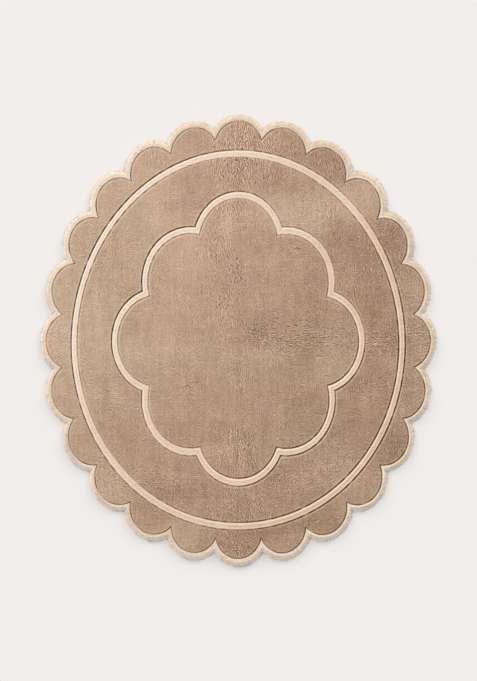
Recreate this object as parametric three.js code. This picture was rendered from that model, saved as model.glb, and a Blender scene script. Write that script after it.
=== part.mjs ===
// Scalloped rug: one piece of cut pile on its ground cloth, lying flat, an upright oval with a scalloped edge.
// Millimetres, Z up. The origin is on the floor under the middle of the rug, and Y runs along its length.

import * as THREE from 'three';

// Overall size. The design is drawn round, LENGTH across, and then narrowed to WIDTH.
const LENGTH = 2000;
const WIDTH = 1750;
const THICKNESS = 18;

// Scalloped edge: equal round scallops, one at each end of the rug and one at each side
const SCALLOPS = 24;
const SCALLOP_RADIUS = 153;
const BORDER_WIDTH = 32;

// Oval ring between the scallops and the middle, drawn by hand, so that it strays a little three times round
const RING_RADIUS = 826;
const RING_BAND = 35;
const RING_STRAY = 4;
const RING_STRAYS = 3;

// Closed outline of round lobes in the middle, alternately straight out and slanted
const LOBE_BAND = 35;
const STRAIGHT_LOBE = { reachToCentre: 409, radius: 216 };
const SLANTED_LOBE = { reachToCentre: 353, radius: 231 };
const SLANTED_LOBE_ANGLE = 47;
const TOP_LOBE_STRETCH = 23;

// Grooves clipped into the pile along both sides of each band and along the inner side of the border
const GROOVE_WIDTH = 8;
const GROOVE_DEPTH = 7;

// Edge: the pile rounds over and leans out past the ground cloth
const EDGE_ROUNDING = 11;
const EDGE_SIDE_HEIGHT = 7;
const EDGE_UNDERCUT = 4;
const EDGE_STEPS = 2;

// Steps around the rug: the same whole number for every scallop and for every lobe
const STEPS = 240;

const PILE_TAUPE = 0xb3937b;

const narrowing = WIDTH / LENGTH;
const degrees = Math.PI / 180;

// A closed outline of round lobes that meet in notches, as circles in order around the middle
function lobedCircles(lobes) {
  return lobes.map(({ angle, reachToCentre, radius }) => ({
    x: reachToCentre * Math.cos(angle * degrees),
    y: reachToCentre * Math.sin(angle * degrees),
    radius,
  }));
}

// The outer of the two points where neighbouring circles cross, each circle made larger by offset
function notchBetween(a, b, offset) {
  const across = new THREE.Vector2(b.x - a.x, b.y - a.y);
  const distance = across.length();
  const radiusA = a.radius + offset;
  const radiusB = b.radius + offset;
  const along = (distance ** 2 + radiusA ** 2 - radiusB ** 2) / (2 * distance);
  const out = Math.sqrt(radiusA ** 2 - along ** 2);
  across.divideScalar(distance);
  return new THREE.Vector2(
    a.x + along * across.x + out * across.y,
    a.y + along * across.y - out * across.x,
  );
}

// A point of the lobed outline, offset outwards. turn runs from 0 to 1, and each lobe takes an equal share of it.
function pointOnLobes(circles, offset, turn) {
  const lobeTurns = turn * circles.length;
  const index = Math.floor(lobeTurns + 0.5) % circles.length;
  const share = lobeTurns + 0.5 - Math.floor(lobeTurns + 0.5);
  const circle = circles[index];
  const before = circles[(index + circles.length - 1) % circles.length];
  const after = circles[(index + 1) % circles.length];
  const from = notchBetween(before, circle, offset);
  const to = notchBetween(circle, after, offset);
  const start = Math.atan2(from.y - circle.y, from.x - circle.x);
  const sweep = Math.atan2(to.y - circle.y, to.x - circle.x) - start;
  const angle = start + share * (sweep < 0 ? sweep + 2 * Math.PI : sweep);
  const radius = circle.radius + offset;
  return new THREE.Vector2(circle.x + radius * Math.cos(angle), circle.y + radius * Math.sin(angle));
}

// Scallops stand on a circle whose radius lets their crowns reach the end of the rug
const scallopCircles = lobedCircles(
  Array.from({ length: SCALLOPS }, (_, k) => ({
    angle: (360 / SCALLOPS) * k,
    reachToCentre: LENGTH / 2 - SCALLOP_RADIUS,
    radius: SCALLOP_RADIUS,
  })),
);

const TOP_LOBE = { ...STRAIGHT_LOBE, reachToCentre: STRAIGHT_LOBE.reachToCentre + TOP_LOBE_STRETCH };
const middleCircles = lobedCircles([
  { angle: 0, ...STRAIGHT_LOBE },
  { angle: SLANTED_LOBE_ANGLE, ...SLANTED_LOBE },
  { angle: 90, ...TOP_LOBE },
  { angle: 180 - SLANTED_LOBE_ANGLE, ...SLANTED_LOBE },
  { angle: 180, ...STRAIGHT_LOBE },
  { angle: 180 + SLANTED_LOBE_ANGLE, ...SLANTED_LOBE },
  { angle: 270, ...STRAIGHT_LOBE },
  { angle: 360 - SLANTED_LOBE_ANGLE, ...SLANTED_LOBE },
]);

const onScallops = (offset, turn) => pointOnLobes(scallopCircles, offset, turn);
const onMiddle = (offset, turn) => pointOnLobes(middleCircles, offset, turn);

function onRing(offset, turn) {
  const angle = 2 * Math.PI * turn;
  const radius = RING_RADIUS - RING_STRAY * Math.sin(RING_STRAYS * angle) + offset;
  return new THREE.Vector2(radius * Math.cos(angle), radius * Math.sin(angle));
}

// A clipped groove: outer lip, bottom and inner lip
function groove(outline, middle) {
  return [
    { outline, offset: middle + GROOVE_WIDTH / 2, height: THICKNESS },
    { outline, offset: middle, height: THICKNESS - GROOVE_DEPTH },
    { outline, offset: middle - GROOVE_WIDTH / 2, height: THICKNESS },
  ];
}

// The edge rounds over from its widest height up to the pile's top, as a quarter of an oval
function roundedEdge() {
  const rise = THICKNESS - EDGE_SIDE_HEIGHT;
  return Array.from({ length: EDGE_STEPS + 1 }, (_, k) => {
    const lift = (90 / EDGE_STEPS) * k * degrees;
    return {
      outline: onScallops,
      offset: -EDGE_ROUNDING * (1 - Math.cos(lift)),
      height: EDGE_SIDE_HEIGHT + rise * Math.sin(lift),
    };
  });
}

// The whole section from the middle of the underside, out around the edge and back to the middle of the top
const onAxis = () => new THREE.Vector2();
const section = [
  { outline: onAxis, offset: 0, height: 0 },
  { outline: onScallops, offset: -EDGE_UNDERCUT, height: 0 },
  ...roundedEdge(),
  ...groove(onScallops, -BORDER_WIDTH),
  ...groove(onRing, RING_BAND / 2),
  ...groove(onRing, -RING_BAND / 2),
  ...groove(onMiddle, LOBE_BAND / 2),
  ...groove(onMiddle, -LOBE_BAND / 2),
  { outline: onAxis, offset: 0, height: THICKNESS },
];

// A turned body with the section's rows, whose points then move out to the outline of their own row
function rugGeometry() {
  const rows = section.length;
  const turned = section.map(({ height }, row) => {
    const onEnd = row === 0 || row === rows - 1;
    return new THREE.Vector2(onEnd ? 0 : 1, height);
  });
  const geometry = new THREE.LatheGeometry(turned, STEPS);
  const position = geometry.getAttribute('position');
  for (let step = 0; step <= STEPS; step += 1) {
    const turn = (step % STEPS) / STEPS;
    section.forEach(({ outline, offset, height }, row) => {
      const point = outline(offset, turn);
      position.setXYZ(step * rows + row, point.x * narrowing, point.y, height);
    });
  }
  geometry.computeVertexNormals();
  return geometry;
}

const rug = new THREE.Mesh(
  rugGeometry(),
  new THREE.MeshStandardMaterial({ color: PILE_TAUPE, roughness: 0.95, metalness: 0 }),
);
rug.name = 'rug';

const part = new THREE.Group();
part.add(rug);

export default part;
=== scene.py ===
# Scalloped rug: hand-tufted cut pile in taupe and cream on a ground cloth, laid flat. Metres, Z up.
# The pieces follow the rug from the cloth up and from its middle out to its edge.

import math
from collections import namedtuple

import bpy
import numpy as np
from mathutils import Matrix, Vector
from mathutils.geometry import delaunay_2d_cdt


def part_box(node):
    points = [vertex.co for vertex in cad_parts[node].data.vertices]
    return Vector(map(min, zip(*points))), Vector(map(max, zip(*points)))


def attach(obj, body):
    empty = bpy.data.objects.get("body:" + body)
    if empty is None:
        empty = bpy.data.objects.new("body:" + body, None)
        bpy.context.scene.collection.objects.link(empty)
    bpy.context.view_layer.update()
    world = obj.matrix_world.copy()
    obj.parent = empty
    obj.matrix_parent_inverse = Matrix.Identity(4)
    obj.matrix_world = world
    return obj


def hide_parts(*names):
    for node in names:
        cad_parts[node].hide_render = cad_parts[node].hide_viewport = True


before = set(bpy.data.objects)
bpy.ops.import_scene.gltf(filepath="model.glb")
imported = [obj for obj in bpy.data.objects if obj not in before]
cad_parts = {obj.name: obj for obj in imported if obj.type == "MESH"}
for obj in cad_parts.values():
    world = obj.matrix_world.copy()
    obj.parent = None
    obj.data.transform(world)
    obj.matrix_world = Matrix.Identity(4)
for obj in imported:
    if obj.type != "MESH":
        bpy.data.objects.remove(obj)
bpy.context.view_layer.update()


# Floor, light and camera: a pale matt studio floor, seen from straight above with the rug laid on it.
# Most of the light is soft and comes from all round. A lamp high on the upper left gives the carving its
# dark and bright sides, and two low wide windows beyond the rug's top give the floor its long shade.
FLOOR_SIZE = 18.0
FLOOR_COLOUR = (0.80, 0.77, 0.749, 1.0)
ROOM_COLOUR = (1.0, 1.0, 1.0, 1.0)
ROOM_LIGHT = 0.64

# The picture takes in PICTURE_HEIGHT from top to bottom where the pile is, FOCUS_HEIGHT above the floor
PICTURE_HEIGHT = 3.0134
PICTURE_CENTRE = (0.0004, 0.0022)
FOCUS_HEIGHT = 0.012
LENS = 85.0
SENSOR = 36.0

bpy.ops.mesh.primitive_plane_add(size=FLOOR_SIZE)
floor = bpy.context.object
floor.name = "studio_floor"
floor_paint = bpy.data.materials.new("floor_paint")
floor_paint.use_nodes = True
floor_shader = floor_paint.node_tree.nodes["Principled BSDF"]
floor_shader.inputs["Base Color"].default_value = FLOOR_COLOUR
floor_shader.inputs["Roughness"].default_value = 1.0
floor_shader.inputs["Specular IOR Level"].default_value = 0.0
floor.data.materials.append(floor_paint)

room = bpy.data.worlds.new("room")
room.use_nodes = True
room.node_tree.nodes["Background"].inputs["Color"].default_value = ROOM_COLOUR
room.node_tree.nodes["Background"].inputs["Strength"].default_value = ROOM_LIGHT
bpy.context.scene.world = room


def far_lamp(name, bearing, height, spread, share):
    """A lamp too far off to fade over the rug, at a bearing anticlockwise from +X and a height in degrees.

    share is the brightness that it alone gives to a level white surface.
    """
    data = bpy.data.lights.new(name, "SUN")
    data.energy = share * math.pi / math.sin(math.radians(height))
    data.angle = math.radians(spread)
    lamp = bpy.data.objects.new(name, data)
    level = math.cos(math.radians(height))
    source = Vector((
        math.cos(math.radians(bearing)) * level,
        math.sin(math.radians(bearing)) * level,
        math.sin(math.radians(height)),
    ))
    lamp.rotation_euler = source.to_track_quat("Z", "Y").to_euler()
    bpy.context.scene.collection.objects.link(lamp)


far_lamp("key_lamp", bearing=137, height=52, spread=14, share=0.21)
far_lamp("left_window", bearing=132, height=17, spread=24, share=0.13)
far_lamp("right_window", bearing=48, height=17, spread=24, share=0.13)

overhead = bpy.data.cameras.new("overhead")
overhead.lens = LENS
overhead.sensor_width = SENSOR
camera = bpy.data.objects.new("overhead", overhead)
camera.location = (*PICTURE_CENTRE, FOCUS_HEIGHT + PICTURE_HEIGHT * LENS / SENSOR)
bpy.context.scene.collection.objects.link(camera)
bpy.context.scene.camera = camera
bpy.context.scene.view_settings.view_transform = "Standard"


# Ground cloth: the woven cloth that the pile is tufted into, glued to a plain cotton backing and cut
# a little inside the scalloped edge. It carries everything else.
CLOTH_THICKNESS = 0.003
CLOTH_INSET = 0.004

SCALLOPS = 24
SCALLOP_RADIUS = 0.153
STEPS_PER_SCALLOP = 88

rug_low, rug_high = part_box("rug")
RUG_WIDTH = rug_high.x - rug_low.x
RUG_LENGTH = rug_high.y - rug_low.y
PILE_TOP = rug_high.z

# The rug's lines are drawn round, and then narrowed to its width
narrowing = RUG_WIDTH / RUG_LENGTH

Lobe = namedtuple("Lobe", "x y radius")


def lobe(angle, reach, radius):
    """A round lobe whose centre lies reach out from the rug's middle, on the round drawing of the rug."""
    return Lobe(reach * math.cos(math.radians(angle)), reach * math.sin(math.radians(angle)), radius)


def notch(a, b, offset):
    """Where two neighbouring lobes meet, each made larger by offset."""
    apart = math.hypot(b.x - a.x, b.y - a.y)
    across_x = (b.x - a.x) / apart
    across_y = (b.y - a.y) / apart
    along = (apart**2 + (a.radius + offset) ** 2 - (b.radius + offset) ** 2) / (2 * apart)
    out = math.sqrt((a.radius + offset) ** 2 - along**2)
    return a.x + along * across_x + out * across_y, a.y + along * across_y - out * across_x


# Something that differs by direction, from the rug's middle or by the way that a line faces
Compass = namedtuple("Compass", "east north_east north north_west west south_west south south_east")
EVEN = Compass(0, 0, 0, 0, 0, 0, 0, 0)


def toward(compass, turns):
    """The value for each direction, given in turns anticlockwise from east."""
    points = len(compass)
    return np.interp(turns * points % points, np.arange(points + 1), (*compass, compass.east))


def strayed(stray, turns):
    """How far out a line was drawn by hand, in metres, from its stray in millimetres by direction."""
    return toward(stray, turns) / 1000


# The share of a lobe's points that turn round a notch, at each end of the lobe
NOTCH_FAN = 0.06


def lobed_outline(lobes, sharp=None, stray=EVEN):
    """A closed line of round lobes that meet in notches, as a function of offset and turns round the rug.

    Its notches are sharp at every offset, or else at the one named: lines further in then keep an even
    distance from that one, and so go round its notches. stray is how many millimetres too far out the line
    was drawn by hand.
    """
    count = len(lobes)
    centre = np.array([(each.x, each.y) for each in lobes])
    radius = np.array([each.radius for each in lobes])
    fan = 0.0 if sharp is None else NOTCH_FAN

    def line(offset, turns):
        level = offset if sharp is None else sharp
        at_notch = level + strayed(stray, (np.arange(count) - 0.5) / count)
        kept = level + strayed(stray, turns)
        notches = np.array([notch(lobes[k - 1], lobes[k], at_notch[k]) for k in range(count)])
        first = notches - centre
        last = np.roll(notches, -1, axis=0) - centre
        start = np.arctan2(first[:, 1], first[:, 0])
        sweep = (np.arctan2(last[:, 1], last[:, 0]) - start) % (2 * np.pi)
        half_fan = (np.roll(start + sweep, 1) - start) % (2 * np.pi) / 2
        walked = turns * count + 0.5
        which = np.floor(walked).astype(int) % count
        share = walked - np.floor(walked)
        angle = start[which] + np.clip((share - fan) / (1 - 2 * fan), 0, 1) * sweep[which]
        before = np.clip(fan - share, 0, 1) / NOTCH_FAN * half_fan[which]
        after = np.clip(fan - 1 + share, 0, 1) / NOTCH_FAN * half_fan[(which + 1) % count]
        facing = angle + before - after
        x = centre[which, 0] + (radius[which] + kept) * np.cos(angle) + (offset - level) * np.cos(facing)
        y = centre[which, 1] + (radius[which] + kept) * np.sin(angle) + (offset - level) * np.sin(facing)
        return np.stack([x * narrowing, y], axis=1)

    return line


def all_round(steps):
    """Evenly spaced turns, once round the rug."""
    return np.arange(steps) / steps


def strip(lower, upper, steps):
    """Faces between two closed rows of points, given by the number of each row's first point."""
    here = np.arange(steps)
    ahead = (here + 1) % steps
    first = np.stack([lower + here, lower + ahead, upper + ahead], axis=1)
    second = np.stack([lower + here, upper + ahead, upper + here], axis=1)
    return np.concatenate([first, second])


# How the faces of a level are laid out: only inside its closed rows, and with points this near made one
ONLY_INSIDE = 1
SAME_POINT = 1e-8


def cover(points, outer, inner=None):
    """Level faces over points, inside an outer closed row of them and outside an inner one."""
    edges = list(zip(outer.tolist(), np.roll(outer, -1).tolist()))
    if inner is not None:
        edges += list(zip(inner.tolist(), np.roll(inner, -1).tolist()))
    spots = [Vector(point) for point in points.tolist()]
    _, _, corners, given, _, _ = delaunay_2d_cdt(spots, edges, [], ONLY_INSIDE, SAME_POINT)
    source = np.array([numbers[0] for numbers in given])
    faces = source[np.array(corners)]
    if inner is None:
        return faces
    place = np.full(len(points), -1)
    place[inner] = np.arange(len(inner))
    on_inner = place[faces]
    second = (on_inner[:, 1] - on_inner[:, 0]) % len(inner)
    third = (on_inner[:, 2] - on_inner[:, 0]) % len(inner)
    in_hole = (on_inner >= 0).all(axis=1) & (second < third)
    return faces[~in_hole]


def mesh_object(name, material, points, faces, values):
    """A piece from arrays of points and three-cornered faces, with named values on its points."""
    mesh = bpy.data.meshes.new(name)
    mesh.materials.append(material)
    mesh.vertices.add(len(points))
    mesh.vertices.foreach_set("co", points.astype(np.float32).ravel())
    mesh.loops.add(faces.size)
    mesh.loops.foreach_set("vertex_index", faces.astype(np.int32).ravel())
    mesh.polygons.add(len(faces))
    mesh.polygons.foreach_set("loop_start", np.arange(0, faces.size, 3, dtype=np.int32))
    mesh.polygons.foreach_set("use_smooth", np.ones(len(faces), dtype=bool))
    for value_name, value in values.items():
        layer = mesh.attributes.new(value_name, "FLOAT", "POINT")
        layer.data.foreach_set("value", value.astype(np.float32))
    mesh.update(calc_edges=True)
    piece = bpy.data.objects.new(name, mesh)
    bpy.context.scene.collection.objects.link(piece)
    return piece


class Tone:
    """A value on its way through a finish. Sums on it add Math nodes to that finish."""

    def __init__(self, finish, socket):
        self.finish = finish
        self.socket = socket

    def work_out(self, operation, first, second):
        sockets = {"Value": first, "Value_001": second}
        return self.finish.node("ShaderNodeMath", {"operation": operation}, sockets, "Value")

    def __add__(self, other):
        return self.work_out("ADD", self, other)

    def __radd__(self, other):
        return self.work_out("ADD", other, self)

    def __sub__(self, other):
        return self.work_out("SUBTRACT", self, other)

    def __rsub__(self, other):
        return self.work_out("SUBTRACT", other, self)

    def __mul__(self, other):
        return self.work_out("MULTIPLY", self, other)

    def __rmul__(self, other):
        return self.work_out("MULTIPLY", other, self)


# Every finish here is dull cloth: how rough it is, how little it shines and how far its sheen spreads
DULL = 0.95
SHINE = 0.1
SHEEN_SPREAD = 0.5

# Specks are as long as they are wide, with finer ones among them, unless a finish stretches them
NO_STRETCH = (1.0, 1.0, 1.0)
FINER_SPECKS = 0.6

Shades = namedtuple("Shades", "dark light")


class Finish:
    """A material being made up. node() adds any node and gives the output that is asked for."""

    def __init__(self, name):
        self.material = bpy.data.materials.new(name)
        self.material.use_nodes = True
        self.tree = self.material.node_tree
        self.tree.nodes.clear()

    def node(self, kind, settings, sockets, output=None):
        made = self.tree.nodes.new(kind)
        for setting, value in settings.items():
            setattr(made, setting, value)
        entries = {entry.identifier: entry for entry in made.inputs}
        for entry, value in sockets.items():
            if isinstance(value, Tone):
                self.tree.links.new(value.socket, entries[entry])
            else:
                entries[entry].default_value = value
        outputs = {entry.identifier: entry for entry in made.outputs}
        return Tone(self, outputs[output]) if output else made

    def place(self, stretch=NO_STRETCH):
        """The point on the piece in metres, squeezed one way for grain that runs that way."""
        here = self.node("ShaderNodeTexCoord", {}, {}, "Object")
        sockets = {"Vector": here, "Vector_001": stretch}
        return self.node("ShaderNodeVectorMath", {"operation": "MULTIPLY"}, sockets, "Vector")

    def reach(self, axis):
        """How far along X or Y the point lies, in metres."""
        return self.node("ShaderNodeSeparateXYZ", {}, {"Vector": self.place()}, axis)

    def value(self, name):
        """A named value that the mesh carries on its points."""
        return self.node("ShaderNodeAttribute", {"attribute_name": name}, {}, "Fac")

    def wave(self, phase, strength=1.0):
        """A value that swings from -strength to strength, once for each full turn of the phase."""
        return self.node("ShaderNodeMath", {"operation": "SINE"}, {"Value": phase}, "Value") * strength

    def specks(self, size, strength=1.0, detail=1.0, stretch=NO_STRETCH):
        """Uneven specks of about that size in metres, from -0.5 to 0.5 times the strength."""
        sockets = {
            "Vector": self.place(stretch),
            "Scale": 1 / size,
            "Detail": detail,
            "Roughness": FINER_SPECKS,
        }
        return (self.node("ShaderNodeTexNoise", {}, sockets, "Fac") - 0.5) * strength

    def streaks(self, width, along, squeeze, strength=1.0):
        """Specks of about that width in metres, drawn out along X or Y, the more the smaller squeeze is."""
        stretch = (squeeze, 1.0, 1.0) if along == "X" else (1.0, squeeze, 1.0)
        return self.specks(width, strength, stretch=stretch)

    def blend(self, amount, first, second):
        """A colour between two, by an amount from 0 to 1."""
        first, second = [each if isinstance(each, Tone) else (*each, 1.0) for each in (first, second)]
        sockets = {"Factor_Float": amount, "A_Color": first, "B_Color": second}
        return self.node("ShaderNodeMix", {"data_type": "RGBA"}, sockets, "Result_Color")

    def close(self, colour, relief, relief_depth, sheen):
        """Ends the finish in one matt cloth shader, with its relief as a bump relief_depth metres deep."""
        normal = self.node("ShaderNodeBump", {}, {"Height": relief, "Distance": relief_depth}, "Normal")
        sockets = {
            "Base Color": colour,
            "Roughness": DULL,
            "Normal": normal,
            "Specular IOR Level": SHINE,
            "Sheen Weight": sheen,
            "Sheen Roughness": SHEEN_SPREAD,
        }
        shader = self.node("ShaderNodeBsdfPrincipled", {}, sockets, "BSDF")
        self.node("ShaderNodeOutputMaterial", {}, {"Surface": shader})
        return self.material


scallop_reach = RUG_LENGTH / 2 - SCALLOP_RADIUS
scallops = [lobe(360 / SCALLOPS * k, scallop_reach, SCALLOP_RADIUS) for k in range(SCALLOPS)]
on_scallops = lobed_outline(scallops)
scallop_steps = SCALLOPS * STEPS_PER_SCALLOP


def make_cloth(cotton):
    """The ground cloth and its backing as one flat closed body."""
    edge = on_scallops(-CLOTH_INSET, all_round(scallop_steps))
    low = np.column_stack([edge, np.zeros(scallop_steps)])
    high = np.column_stack([edge, np.full(scallop_steps, CLOTH_THICKNESS)])
    face = cover(edge, np.arange(scallop_steps))
    faces = np.concatenate([face[:, ::-1], face + scallop_steps, strip(0, scallop_steps, scallop_steps)])
    return mesh_object("ground_cloth", cotton, np.concatenate([low, high]), faces, values={})


# Backing cotton: its shades, its middle one, its threads' pitch, and how its crossings and slubs show
COTTON = Shades(dark=(0.42, 0.35, 0.26), light=(0.74, 0.66, 0.54))
COTTON_MIDDLE = 0.55
THREAD_PITCH = 0.0026
CROSSINGS_SHOW = 0.2
SLUBS_SHOW = 0.6
SLUB_WIDTH = 0.004
SLUB_SQUEEZE = 0.08


def cotton_finish():
    """Plain weave: threads over and under at one pitch both ways, with slubs."""
    finish = Finish("backing_cotton")
    turns = 2 * math.pi / THREAD_PITCH
    crossings = finish.wave(finish.reach("X") * turns) * finish.wave(finish.reach("Y") * turns)
    slubs = finish.streaks(SLUB_WIDTH, "Y", SLUB_SQUEEZE) + finish.streaks(SLUB_WIDTH, "X", SLUB_SQUEEZE)
    amount = COTTON_MIDDLE + crossings * CROSSINGS_SHOW + slubs * SLUBS_SHOW
    return finish.close(finish.blend(amount, *COTTON), crossings + slubs, relief_depth=0.0003, sheen=0.05)


ground_cloth = make_cloth(cotton_finish())
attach(ground_cloth, "root")
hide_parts("rug")


# Middle: dense taupe wool, tufted into the ground cloth and cut level, inside the innermost groove. Its
# yarn ends stand about six millimetres apart. They have been brushed and walked on, so that the nap leans
# here and there, and the rows that they were tufted in show in places as fine lines.
TUFT_PITCH = 0.0061
TUFT_MARGIN = 0.0022

# How far yarn ends stray, as a share of their pitch, how far their tips rise, and how much that differs
TUFT_STRAY = 0.28
TUFT_RISE = 0.0010
TUFT_RISE_SPREAD = 0.4

# A clipped groove: a slit down to the cloth, sides that curve up out of it, and a soft ragged lip beside
# it. Down its sides the yarn ends show a little less, and shade is painted on them. A painted highlight
# runs along the lip.
SLIT_HALF = 0.00015
GROOVE_HALF = 0.0055
GROOVE_DEPTH = 0.008
GROOVE_CURVE = 2.2
SIDE_STEPS = 7
LIP_AT = 0.0075
LIP_HALF = 0.0024
LIP_END = 0.0105
RAGGED = 0.0003
SIDE_RISE = 0.7

# The lobes of the middle's outline, by turns straight out and slanted, with the top one further out
LOBE_BAND = 0.035
STRAIGHT_REACH = 0.409
STRAIGHT_RADIUS = 0.216
SLANTED_REACH = 0.353
SLANTED_RADIUS = 0.231
SLANTED_ANGLE = 47
TOP_STRETCH = 0.023
STEPS_PER_LOBE = 148

middle_lobes = [
    lobe(0, STRAIGHT_REACH, STRAIGHT_RADIUS),
    lobe(SLANTED_ANGLE, SLANTED_REACH, SLANTED_RADIUS),
    lobe(90, STRAIGHT_REACH + TOP_STRETCH, STRAIGHT_RADIUS),
    lobe(180 - SLANTED_ANGLE, SLANTED_REACH, SLANTED_RADIUS),
    lobe(180, STRAIGHT_REACH, STRAIGHT_RADIUS),
    lobe(180 + SLANTED_ANGLE, SLANTED_REACH, SLANTED_RADIUS),
    lobe(270, STRAIGHT_REACH, STRAIGHT_RADIUS),
    lobe(360 - SLANTED_ANGLE, SLANTED_REACH, SLANTED_RADIUS),
]
middle_steps = len(middle_lobes) * STEPS_PER_LOBE

# Painted light and shade of the nap, as soft ovals: lighter where it leans to the light, darker where it
# leans away, and in thin lines along the old fold down the middle. Apart from them the painted light
# changes evenly: lighter to the left and to the top of the rug, darker to the right and to the bottom.
Patch = namedtuple("Patch", "x y half_width half_length lift")
PATCH_EDGE = 1.2
TAUPE_PATCHINESS = 0.8
LIGHT_SLOPE_X = -0.20
LIGHT_SLOPE_Y = 0.125
nap_light_patches = [
    Patch(0.28, 0.58, 0.15, 0.06, 0.25),
    Patch(0.53, 0.63, 0.08, 0.08, 0.24),
    Patch(0.80, 0.21, 0.07, 0.09, 0.17),
    Patch(0.83, -0.01, 0.06, 0.09, 0.20),
    Patch(0.79, -0.25, 0.06, 0.10, 0.20),
    Patch(0.43, -0.09, 0.08, 0.11, 0.17),
    Patch(0.45, -0.56, 0.13, 0.08, 0.19),
    Patch(0.56, -0.66, 0.09, 0.07, 0.17),
    Patch(-0.31, 0.10, 0.05, 0.15, 0.08),
    Patch(-0.42, -0.05, 0.13, 0.04, 0.11),
    Patch(-0.20, 0.39, 0.07, 0.09, 0.13),
    Patch(-0.37, 0.55, 0.03, 0.08, 0.14),
    Patch(-0.04, 0.52, 0.02, 0.08, 0.17),
    Patch(-0.63, 0.05, 0.04, 0.08, 0.11),
    Patch(-0.79, 0.01, 0.05, 0.07, 0.47),
    Patch(-0.08, 0.31, 0.05, 0.08, -0.09),
    Patch(0.02, -0.89, 0.14, 0.04, -0.09),
    Patch(-0.52, -0.05, 0.03, 0.06, -0.09),
    Patch(-0.09, -0.48, 0.07, 0.02, 0.14),
    Patch(-0.24, -0.87, 0.07, 0.06, 0.16),
    Patch(-0.58, -0.62, 0.07, 0.07, 0.19),
    Patch(0.12, -0.07, 0.16, 0.03, 0.10),
    Patch(0.18, -0.42, 0.02, 0.10, 0.09),
    Patch(0.67, -0.08, 0.03, 0.05, 0.20),
    Patch(0.77, 0.10, 0.03, 0.03, 0.09),
    Patch(-0.35, 0.65, 0.10, 0.08, 0.05),
    Patch(0.36, 0.83, 0.10, 0.07, -0.22),
    Patch(0.20, 0.86, 0.07, 0.05, -0.12),
    Patch(0.16, 0.71, 0.06, 0.05, -0.17),
    Patch(-0.20, 0.68, 0.07, 0.10, -0.08),
    Patch(-0.19, 0.90, 0.08, 0.05, -0.08),
    Patch(0.49, 0.40, 0.09, 0.07, -0.12),
    Patch(0.67, 0.45, 0.06, 0.07, -0.10),
    Patch(0.58, 0.18, 0.05, 0.14, -0.10),
    Patch(0.08, 0.05, 0.08, 0.07, -0.09),
    Patch(0.32, 0.10, 0.03, 0.14, -0.10),
    Patch(0.31, -0.04, 0.03, 0.05, -0.10),
    Patch(0.27, -0.27, 0.05, 0.04, -0.08),
    Patch(-0.20, -0.40, 0.12, 0.05, -0.09),
    Patch(-0.56, -0.40, 0.12, 0.08, -0.09),
    Patch(-0.29, -0.67, 0.11, 0.04, -0.17),
    Patch(-0.22, -0.53, 0.04, 0.04, -0.12),
    Patch(0.12, -0.84, 0.10, 0.02, -0.15),
    Patch(0.00, -0.75, 0.05, 0.04, -0.08),
    Patch(0.01, -0.53, 0.03, 0.05, -0.10),
    Patch(0.33, 0.53, 0.06, 0.04, 0.12),
    Patch(0.25, -0.87, 0.08, 0.03, 0.12),
    Patch(0.27, -0.62, 0.05, 0.03, 0.10),
    Patch(0.71, -0.33, 0.03, 0.04, 0.17),
    Patch(0.58, -0.28, 0.04, 0.06, 0.10),
    Patch(-0.15, -0.09, 0.03, 0.04, 0.09),
    Patch(0.12, 0.01, 0.03, 0.02, 0.12),
    Patch(-0.40, -0.74, 0.06, 0.03, -0.10),
    Patch(-0.50, -0.52, 0.05, 0.05, -0.08),
    Patch(0.27, -0.08, 0.04, 0.05, -0.08),
    Patch(0.50, -0.20, 0.04, 0.03, -0.09),
    Patch(0.40, 0.73, 0.05, 0.03, -0.10),
    Patch(0.00, 0.80, 0.05, 0.03, -0.14),
    Patch(0.00, 0.70, 0.012, 0.12, -0.15),
    Patch(0.00, 0.35, 0.010, 0.20, -0.06),
    Patch(0.00, -0.15, 0.010, 0.08, -0.08),
    Patch(-0.045, -0.08, 0.020, 0.12, 0.07),
    Patch(0.02, -0.55, 0.015, 0.05, 0.16),
    Patch(0.60, 0.64, 0.03, 0.03, 0.09),
    Patch(0.18, 0.87, 0.03, 0.03, 0.09),
    Patch(0.30, 0.03, 0.03, 0.05, 0.08),
    Patch(-0.30, -0.63, 0.03, 0.03, 0.11),
    Patch(0.45, -0.73, 0.03, 0.04, 0.12),
    Patch(0.80, -0.08, 0.04, 0.04, 0.10),
    Patch(-0.60, 0.55, 0.03, 0.03, 0.09),
    Patch(0.43, 0.49, 0.04, 0.06, -0.10),
    Patch(0.25, -0.80, 0.05, 0.02, -0.10),
    Patch(-0.35, -0.78, 0.04, 0.03, -0.08),
    Patch(0.47, 0.73, 0.03, 0.03, -0.09),
    Patch(0.00, 0.94, 0.04, 0.015, 0.12),
    Patch(0.17, -0.91, 0.04, 0.02, 0.13),
    Patch(0.02, -0.49, 0.015, 0.04, 0.09),
    Patch(0.27, -0.60, 0.04, 0.03, 0.08),
    Patch(0.24, 0.66, 0.04, 0.03, -0.15),
    Patch(0.12, -0.62, 0.02, 0.02, -0.10),
    Patch(0.00, 0.61, 0.06, 0.02, -0.08),
    Patch(0.42, 0.56, 0.04, 0.04, -0.08),
    Patch(0.48, 0.71, 0.03, 0.03, -0.08),
    Patch(-0.10, 0.68, 0.15, 0.06, -0.05),
    Patch(0.15, -0.60, 0.02, 0.02, 0.08),
    Patch(0.08, -0.91, 0.03, 0.02, 0.10),
]

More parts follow.
